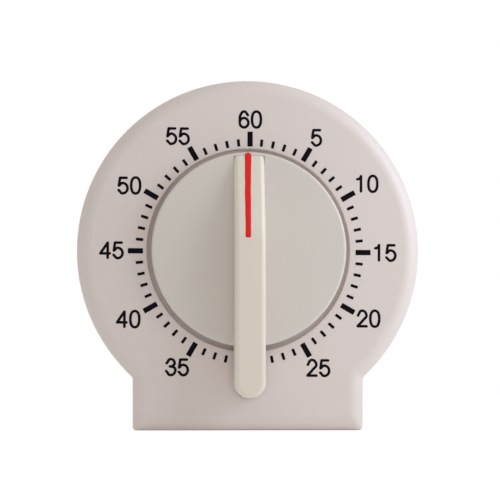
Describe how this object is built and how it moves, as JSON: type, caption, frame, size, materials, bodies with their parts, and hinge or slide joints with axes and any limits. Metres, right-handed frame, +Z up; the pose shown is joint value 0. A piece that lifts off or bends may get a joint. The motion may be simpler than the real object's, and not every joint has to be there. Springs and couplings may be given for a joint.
{
  "type": "mechanical kitchen timer",
  "caption": "Spring-driven 60-minute kitchen timer: round case on a flat foot, sunk knob with a raised grip bar, plate movement with a bell.",
  "frame": {"origin": "middle of the foot's flat bottom face, under the dial axis and halfway through the case's depth", "axes": "+Z up, the dial faces -Y, +X to the right of someone who reads the dial"},
  "size_m": [0.069, 0.0395, 0.0707],
  "materials": {
    "case_plastic": "injection-moulded ABS, warm off-white, satin",
    "knob_plastic": "injection-moulded ABS, pale grey, satin",
    "grip_plastic": "injection-moulded ABS, ivory, gloss",
    "dial_ink": "black pad-printing ink",
    "pointer_paint": "red paint in a shallow groove",
    "screw_steel": "zinc-plated steel",
    "plate_steel": "stamped steel sheet",
    "turned_steel": "turned steel",
    "spring_steel": "blued spring steel",
    "wheel_brass": "stamped brass",
    "turned_brass": "turned brass",
    "bell_nickel": "nickel-plated steel"
  },
  "bodies": {
    "root": {"front_case": "case_plastic", "back_cover": "case_plastic", "cover_screws": "screw_steel", "movement_screws": "screw_steel", "front_plate": "plate_steel", "back_plate": "plate_steel", "plate_pillars": "turned_steel", "pillar_screws": "screw_steel", "main_bush": "turned_brass", "mainspring": "spring_steel", "spring_post": "turned_steel", "lever_stud": "turned_steel", "trip_spring": "spring_steel", "trip_spring_post": "turned_steel", "bell": "bell_nickel", "bell_post": "turned_steel", "bell_screw": "screw_steel"},
    "dial": {"knob_disc": "knob_plastic", "grip_bar": "grip_plastic", "main_arbor": "turned_steel", "ratchet_wheel": "turned_steel", "alarm_cam": "turned_brass"},
    "great_train": {"great_wheel": "wheel_brass", "click": "turned_steel", "click_studs": "turned_steel", "click_spring": "spring_steel"},
    "second_train": {"second_arbor": "turned_steel", "second_wheel": "wheel_brass", "strike_wheel": "wheel_brass"},
    "third_train": {"third_arbor": "turned_steel", "third_wheel": "wheel_brass"},
    "escape_train": {"escape_arbor": "turned_steel", "escape_wheel": "wheel_brass"},
    "verge": {"verge_arbor": "turned_steel", "verge_pallet": "turned_steel", "inertia_disc": "turned_brass"},
    "trip": {"trip_lever": "plate_steel"},
    "hammer": {"hammer_arbor": "turned_steel", "hammer_pallet": "plate_steel", "hammer_arm": "spring_steel", "hammer_head": "turned_brass"}
  },
  "joints": [
    {"name": "escape_turn", "type": "hinge", "parent": "root", "child": "escape_train", "pos_m": [-0.01231, 0, 0.04792], "axis": [0, -1, 0], "range_deg": [0, 181248]},
    {"name": "dial_turn", "type": "hinge", "parent": "root", "child": "dial", "pos_m": [0, 0, 0.0362], "axis": [0, 1, 0], "range_deg": [0, 354], "deforming": ["mainspring"]},
    {"name": "great_turn", "type": "hinge", "parent": "root", "child": "great_train", "pos_m": [0, 0, 0.0362], "axis": [0, 1, 0], "range_deg": [0, 354]},
    {"name": "second_turn", "type": "hinge", "parent": "root", "child": "second_train", "pos_m": [0.0072, 0, 0.04867], "axis": [0, -1, 0], "range_deg": [0, 2832]},
    {"name": "third_turn", "type": "hinge", "parent": "root", "child": "third_train", "pos_m": [-0.00349, 0, 0.0513], "axis": [0, 1, 0], "range_deg": [0, 22656]},
    {"name": "verge_rock", "type": "hinge", "parent": "root", "child": "verge", "pos_m": [-0.01631, 0, 0.041], "axis": [0, -1, 0], "range_deg": [-7, 7]},
    {"name": "trip_lever_swing", "type": "hinge", "parent": "root", "child": "trip", "pos_m": [0.0055, 0, 0.02667], "axis": [0, -1, 0], "range_deg": [-2, 6], "stiffness_Nm_per_rad": 0.0004},
    {"name": "hammer_swing", "type": "hinge", "parent": "root", "child": "hammer", "pos_m": [0.0162, 0, 0.04134], "axis": [0, -1, 0], "range_deg": [-10, 3], "stiffness_Nm_per_rad": 0.0004}
  ],
  "couplings": [
    {"joint": "dial_turn", "follows": "escape_turn", "ratio": 0.0019531},
    {"joint": "great_turn", "follows": "escape_turn", "ratio": 0.0019531},
    {"joint": "second_turn", "follows": "escape_turn", "ratio": 0.015625},
    {"joint": "third_turn", "follows": "escape_turn", "ratio": 0.125}
  ]
}
